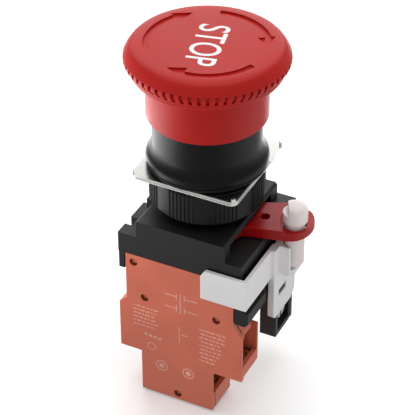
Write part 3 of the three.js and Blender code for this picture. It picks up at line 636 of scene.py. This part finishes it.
def arrow_outline(start, end):
    """Curved arrow that points clockwise from end to past start."""

    def at(r, deg):
        return (r * math.cos(math.radians(deg)), r * math.sin(math.radians(deg)))

    angles = [start + (end - start) * i / ARROW_STEPS for i in range(ARROW_STEPS + 1)]
    shaft = [at(SHAFT_OUTER, a) for a in angles] + [at(SHAFT_INNER, a) for a in reversed(angles)]
    return [*shaft, at(BARB_INNER, start), at(TIP_R, start - TIP_LENGTH), at(BARB_OUTER, start)]


def make_head():
    lip = curve_through([(17.8, 25.6), (18.3, 25.75), (18.6, 26.35), (18.65, 27.0)])
    brim = curve_through([
        (18.65, 27.0), (19.0, 27.5), (19.36, 28.0), (19.86, 28.7), (19.98, 29.3), (19.86, 30.0),
        (19.53, 30.6), (19.14, 31.2), (18.72, 31.75), (18.2, 32.22), (17.4, 32.54), (15.8, CAP_TOP),
    ])
    profile = [
        (0, 29.7), (8.0, 29.7), (8.0, 24.5), (9.5, 24.5), (9.5, 29.7), (13.9, 29.7), (13.9, 13.6),
        (14.6, 13.6), (14.88, 13.85), (14.88, 18.0), (14.88, 22.0), (14.88, 25.4), (15.05, 25.6),
        *lip[:-1], *brim, (0, CAP_TOP),
    ]
    cap = finish_mesh(lathe_mesh(profile, TEETH * STEPS_PER_TOOTH, tooth_depth), "cap", 40.0)
    for start, end in ARROWS:
        cut(cap, slab(arrow_outline(start, end), CAP_TOP - ARROW_DEPTH, CAP_TOP + 1))
    stand_for(cap, "head_cap")


LEGEND = "STOP"
LEGEND_SIZE = 10.7
LEGEND_BOLD = 0.05
LEGEND_THICK = 0.045
LEGEND_SPACING = 0.98
LEGEND_WIDTH = 0.74
LEGEND_TURN = -77.0
LEGEND_PLACE = (0.4, -0.9, CAP_TOP - 0.03)


def make_lettering():
    """One generic word on the cap, the tops of its letters toward the lever's side."""
    curve = bpy.data.curves.new("legend", "FONT")
    curve.body = LEGEND
    curve.size = LEGEND_SIZE * MM
    curve.align_x = "CENTER"
    curve.align_y = "CENTER"
    curve.offset = LEGEND_BOLD * MM
    curve.extrude = LEGEND_THICK * MM
    curve.space_character = LEGEND_SPACING
    text = bpy.data.objects.new("legend_curve", curve)
    bpy.context.scene.collection.objects.link(text)
    bpy.context.view_layer.update()
    graph = bpy.context.evaluated_depsgraph_get()
    mesh = bpy.data.meshes.new_from_object(text.evaluated_get(graph))
    bpy.data.objects.remove(text)
    legend = bpy.data.objects.new("legend", mesh)
    bpy.context.scene.collection.objects.link(legend)
    xs = [v.co.x for v in mesh.vertices]
    ys = [v.co.y for v in mesh.vertices]
    centre = Vector(((min(xs) + max(xs)) / 2, (min(ys) + max(ys)) / 2, 0))
    turn = Matrix.Rotation(math.radians(LEGEND_TURN), 4, "Z")
    lift = Matrix.Translation(Vector(LEGEND_PLACE) * MM)
    narrow = Matrix.Diagonal((LEGEND_WIDTH, 1.0, 1.0, 1.0))
    mesh.transform(lift @ turn @ narrow @ Matrix.Translation(-centre))
    place(legend, "white_plastic", "head", look=INK_WHITE)


# ---------------------------------------------------------------- body, gasket, plate and nut

BARREL_R = 11.0
RING_BORE = 11.3
ROUND_STEPS = 144
KEYWAY = (-1.2, 1.2, 10.1, 12, -20, 0.7)


def make_housing():
    """Neck, flared bezel and barrel in one, with a keyway down the barrel."""
    flare = curve_through([
        (15.05, 1.0), (15.14, 1.6), (15.0, 2.55), (14.7, 3.12), (14.3, 3.68), (13.95, 4.38),
        (13.69, 5.1), (13.54, 5.85), (13.49, 6.4),
    ], 2)
    foot = [(9.2, -19), (BARREL_R, -19), (BARREL_R, 1.0)]
    bore = [
        (12.2, 12.7), (11.2, 12.7), (11.2, 2.5), (9.2, 0.5),
        (9.2, -9.0), (4.3, -9.0), (4.3, -12.0), (9.2, -12.0),
    ]
    neck = len(foot) + len(flare)
    profile = rounded([*foot, *flare, (13.49, 20.0), (12.2, 20.0), *bore],
                      {1: 0.4, len(foot): 0.12, neck: 0.25, neck + 1: 0.25})
    housing = finish_mesh(lathe_mesh(profile, ROUND_STEPS), "housing", 28.0)
    cut(housing, box(*KEYWAY))
    stand_for(housing, "operator_housing")


def make_gasket():
    profile = rounded([(RING_BORE, 0), (14.9, 0), (14.9, 0.7), (RING_BORE, 0.7)], {1: 0.25, 2: 0.25})
    stand_for(finish_mesh(lathe_mesh(profile, ROUND_STEPS), "gasket", 50.0), "panel_gasket")


PLATE_HALF = 14.18
PLATE_CORNER = 1.9
PLATE_SPAN = (-1.29, -0.31)
QUARTERS = (0, 90, 180, 270)
# The two boxes of a corner's tooth, before it is turned to its corner.
CORNER_TOOTH_FOOT = (18.0, 19.3, -0.55, 0.55, -1.24, -0.4)
CORNER_TOOTH_TIP = (18.85, 19.25, -0.5, 0.5, -0.9, 0.55)


def make_plate():
    """Square plate with rounded corners, a bore and a small upturned tooth at each corner."""
    outline = []
    for turn in QUARTERS:
        diagonal = math.radians(turn + 45)
        corner_x = math.copysign(PLATE_HALF - PLATE_CORNER, math.cos(diagonal))
        corner_y = math.copysign(PLATE_HALF - PLATE_CORNER, math.sin(diagonal))
        for k in range(ARC_STEPS + 1):
            a = math.radians(turn + 90 / ARC_STEPS * k)
            outline.append((corner_x + PLATE_CORNER * math.cos(a), corner_y + PLATE_CORNER * math.sin(a)))
    plate = finish_mesh(slab(outline, *PLATE_SPAN), "plate")
    for turn in QUARTERS:
        spin = Matrix.Rotation(math.radians(turn + 45), 4, "Z")
        for sizes in (CORNER_TOOTH_FOOT, CORNER_TOOTH_TIP):
            piece = box(*sizes)
            piece.transform(spin)
            cut(plate, piece, "UNION")
    cut(plate, lathe_mesh([(0, -3), (RING_BORE, -3), (RING_BORE, 2), (0, 2)], 96))
    stand_for(plate, "lock_plate")
    round_edges(plate, 0.12)


NUT_R = 14.5
RIBS_FROM_R = 13.0
NUT_STEPS = 1200
RIB_GROUPS = 8
RIBS = 7
RIB_PITCH = 4.2
RIB_HEIGHT = 0.28
RIB_START = 58.8
# Where a group ends, then shares of the ribs' pitch.
GROUP_END = RIBS * RIB_PITCH - 1.4
RIB_CREST = 0.10
RIB_WALL = 0.14
NUT_STEP = 360.0 / NUT_STEPS


def rib_depth(r, z, turn):
    """Groups of narrow upright ribs round the nut, with plain stretches between."""
    if r < RIBS_FROM_R:
        return 0.0
    along = (turn + RIB_START + NUT_STEP) % (360.0 / RIB_GROUPS)
    if along > GROUP_END:
        return -RIB_HEIGHT
    ridge = abs((along / RIB_PITCH + 0.5) % 1.0 - 0.5)
    return -RIB_HEIGHT * smooth_step((ridge - RIB_CREST) / RIB_WALL)


def make_nut():
    profile = [
        (RING_BORE, -10.2), (14.0, -10.2), (NUT_R, -9.7), (NUT_R, -2.1), (14.0, -1.6), (RING_BORE, -1.6),
    ]
    stand_for(finish_mesh(lathe_mesh(profile, NUT_STEPS, rib_depth), "nut", 30.0), "mounting_nut")


# ---------------------------------------------------------------- springs

CLOSED_TURNS = 0.75
CLOSED_PITCH = 2.05


def coil(node, name, radius, wire, length, turns, place_at, axis="Z", sides=8, steps=20):
    """Compression spring with closed ends. It stands for the CAD node's plainer coil.

    wire is the wire's radius; the closed turns at the ends rise by CLOSED_PITCH of it a turn.
    """
    bm = bmesh.new()
    count = int(turns * steps)
    open_length = length - 2 * wire * CLOSED_PITCH * CLOSED_TURNS
    rings = []
    for i in range(count + 1):
        turn = i / count * turns
        angle = 2 * math.pi * turn
        opened = min(1.0, max(0.0, (turn - CLOSED_TURNS) / (turns - 2 * CLOSED_TURNS)))
        closed = min(turn, CLOSED_TURNS) + max(0.0, turn - (turns - CLOSED_TURNS))
        rise = wire * CLOSED_PITCH * closed + open_length * opened
        centre = Vector((radius * math.cos(angle), radius * math.sin(angle), rise))
        out = Vector((math.cos(angle), math.sin(angle), 0))
        ring = []
        for k in range(sides):
            a = 2 * math.pi * k / sides
            p = centre + out * (wire * math.cos(a)) + Vector((0, 0, wire * math.sin(a)))
            ring.append(bm.verts.new(p * MM))
        rings.append(ring)
    for a, b in zip(rings, rings[1:]):
        for k in range(sides):
            j = (k + 1) % sides
            bm.faces.new((a[k], a[j], b[j], b[k]))
    bm.faces.new(rings[0][::-1])
    bm.faces.new(rings[-1])
    if axis == "X":
        bm.transform(Matrix.Rotation(math.pi / 2, 4, "Y"))
    bm.transform(Matrix.Translation(Vector(place_at) * MM))
    return stand_for(finish_mesh(bm, name, 60.0), node)


def make_springs():
    """All the springs, built at their rest length. The three return springs get meshes of their own."""
    main = coil("plunger_return_spring", "return_coil", 7.2, 0.5, 17.4, 6.5, (0, 0, -8.2),
                sides=10, steps=26)
    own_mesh(main)
    coil("head_return_spring", "head_coil", 6.4, 0.42, 4.2, 3.5, (0, 0, 23.2), sides=10, steps=26)
    coil("latch_spring", "latch_coil", 0.7, 0.14, 1.6, 4, (9.9, 0, 15.8), "X", sides=6, steps=14)
    coil("nc_contact_spring_upper", "nc_coil_upper", 1.5, 0.22, 4.9, 4, (0, -10, -37.0))
    coil("nc_contact_spring_lower", "nc_coil_lower", 1.5, 0.22, 4.5, 4, (0, -10, -50.6))
    coil("aux_contact_spring", "aux_coil", 1.5, 0.22, 4.6, 4, (0, 10, -36.0))
    nc = coil("nc_return_spring", "nc_return_coil", 2.2, 0.3, 10.4, 7, (0, -10, -62.7))
    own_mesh(nc)
    aux = coil("aux_return_spring", "aux_return_coil", 2.2, 0.3, 6.0, 5, (0, 10, -44.2))
    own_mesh(aux)


# ---------------------------------------------------------------- lock pin

PIN_PLACE = (22.5, 3.0, 0)
PIN_FLAT_TURN = 26.0
PIN_FLAT = (-4.2, -1.76, -4.2, 4.2, -10.9, -8.0)


def make_pin():
    """Post with a round head; the head has a flat cut into one side."""
    profile = [
        (0, -27.0), (1.2, -27.0), (1.7, -26.85), (2.2, -26.45), (2.5, -25.9), (2.5, -20.0),
        (2.5, -13.9), (2.75, -13.9), (2.9, -13.7), (3.13, -13.3), (3.14, -13.0), (3.14, -10.1),
        (3.08, -9.75), (2.88, -9.42), (2.5, -9.2), (1.9, -9.12), (0, -9.11),
    ]
    pin = finish_mesh(lathe_mesh(profile, 64), "pin", 40.0)
    flat = box(*PIN_FLAT)
    flat.transform(Matrix.Rotation(math.radians(PIN_FLAT_TURN), 4, "Z"))
    cut(pin, flat)
    pin.data.transform(Matrix.Translation(Vector(PIN_PLACE) * MM))
    stand_for(pin, "lock_pin")
    round_edges(pin, 0.12)


# ---------------------------------------------------------------- printed marks

PRINT_Y = -16.0
INK_HEIGHT = 0.03
DISC_STEPS = 24
RING_STEPS = 28
TICK_STEP = 0.25


def merge(target, source):
    """Adds the bmesh source to target and frees it."""
    mesh = bpy.data.meshes.new("part")
    source.to_mesh(mesh)
    source.free()
    target.from_mesh(mesh)
    bpy.data.meshes.remove(mesh)


def dash(bm, x0, x1, z0, z1):
    merge(bm, box(x0, x1, z0, z1, 0, INK_HEIGHT))


def around(x, z, r, turn):
    return (x + r * math.cos(turn), z + r * math.sin(turn))


def disc(bm, x, z, r):
    angles = [2 * math.pi * i / DISC_STEPS for i in range(DISC_STEPS)]
    merge(bm, slab([around(x, z, r, a) for a in angles], 0, INK_HEIGHT))


def ring_mark(bm, x, z, outer, inner):
    for i in range(RING_STEPS):
        a, b = (2 * math.pi * k / RING_STEPS for k in (i, i + 1))
        corners = ((outer, a), (outer, b), (inner, b), (inner, a))
        merge(bm, slab([around(x, z, r, turn) for r, turn in corners], 0, INK_HEIGHT))


def tick_row(bm, x, end, z, half, gap, widths):
    """Row of ticks of uneven width from x, up to the first that ends past end."""
    for width in widths:
        dash(bm, x, x + width, z - half, z + half)
        x += width + gap
        if x > end:
            break


def make_print():
    """Generic contact diagram, rows of ticks and rings on the front block's face."""
    bm = bmesh.new()
    line = 0.16
    for z in (-32.2, -36.0):
        dash(bm, -4.0, -0.9, z - line, z + line)
        dash(bm, 1.6, 5.0, z - line, z + line)
        dash(bm, -0.9, -0.6, z - 1.0, z + 1.0)
        dash(bm, 1.3, 1.6, z - 1.0, z + 1.0)
    dash(bm, 0.2, 0.5, -37.2, -31.0)
    for row in range(6):
        widths = [0.5 + TICK_STEP * ((k * 7 + row * 5) % 4) for k in range(7)]
        tick_row(bm, -13.0, -7.0, -38.9 - 1.2 * row, 0.22, 0.35, widths)
    for row in range(9):
        widths = [0.45 + TICK_STEP * ((k * 5 + row * 3) % 4) for k in range(7)]
        tick_row(bm, 5.6 + 0.4 * (row % 2), 12.6 - 0.35 * row, -40.4 - 1.25 * row, 0.24, 0.32, widths)
    dash(bm, -0.2, 0.05, -46.9, -41.6)
    dash(bm, 0.5, 2.4, -44.2, -43.9)
    for x in (-5.2, 2.4):
        ring_mark(bm, x, -56.4, 1.7, 1.35)
        disc(bm, x, -56.4, 0.8)
    for k in range(4):
        x, z = -10.0 + 1.3 * k, -47.0 - 0.1 * k
        dash(bm, x, x + 0.9, z - 0.9, z)
    ring_mark(bm, -8.0, -51.0, 1.25, 0.95)
    bm.transform(Matrix.Translation((0, PRINT_Y * MM, 0)) @ Matrix.Rotation(math.pi / 2, 4, "X"))
    place(finish_mesh(bm, "block_print", 30.0), "block_orange", "root", look=INK_PALE)


# ---------------------------------------------------------------- assembly

# CAD nodes that keep their shape: node, name, width of the rounding, segments and sharp angle.
REFINED = (
    ("latch_base", "base", 0.22, 2, 35.0),
    ("release_lever", "lever", 0.35, 3, 25.0),
    ("lock_clip", "clip", 0.3, 3, 35.0),
    ("nc_block_case", "nc_case", 0.18, 2, 35.0),
    ("nc_block_cover", "nc_cover", 0.22, 2, 35.0),
    ("aux_block_case", "aux_case", 0.22, 2, 35.0),
    ("aux_block_cover", "aux_cover", 0.22, 2, 35.0),
)
# The rounding dips a little below the cover's flat foot, so the foot is raised to make room.
COVER_FOOT = CAD_FOOT + 0.005


def make_refined_pieces():
    pieces = {row[0]: refined(*row) for row in REFINED}
    for vertex in pieces["nc_block_cover"].data.vertices:
        vertex.co.z = max(vertex.co.z, COVER_FOOT * MM)


def color_rest():
    """Gives each CAD node that nothing has replaced the look of its slot."""
    for node in sorted(NODES):
        if not NODES[node].hide_render:
            NODES[node].data.materials.clear()
            NODES[node].data.materials.append(LOOKS[SLOTS[node]])


make_camera()
make_studio()
make_head()
make_lettering()
make_housing()
make_gasket()
make_plate()
make_nut()
make_springs()
make_pin()
make_print()
make_refined_pieces()
color_rest()
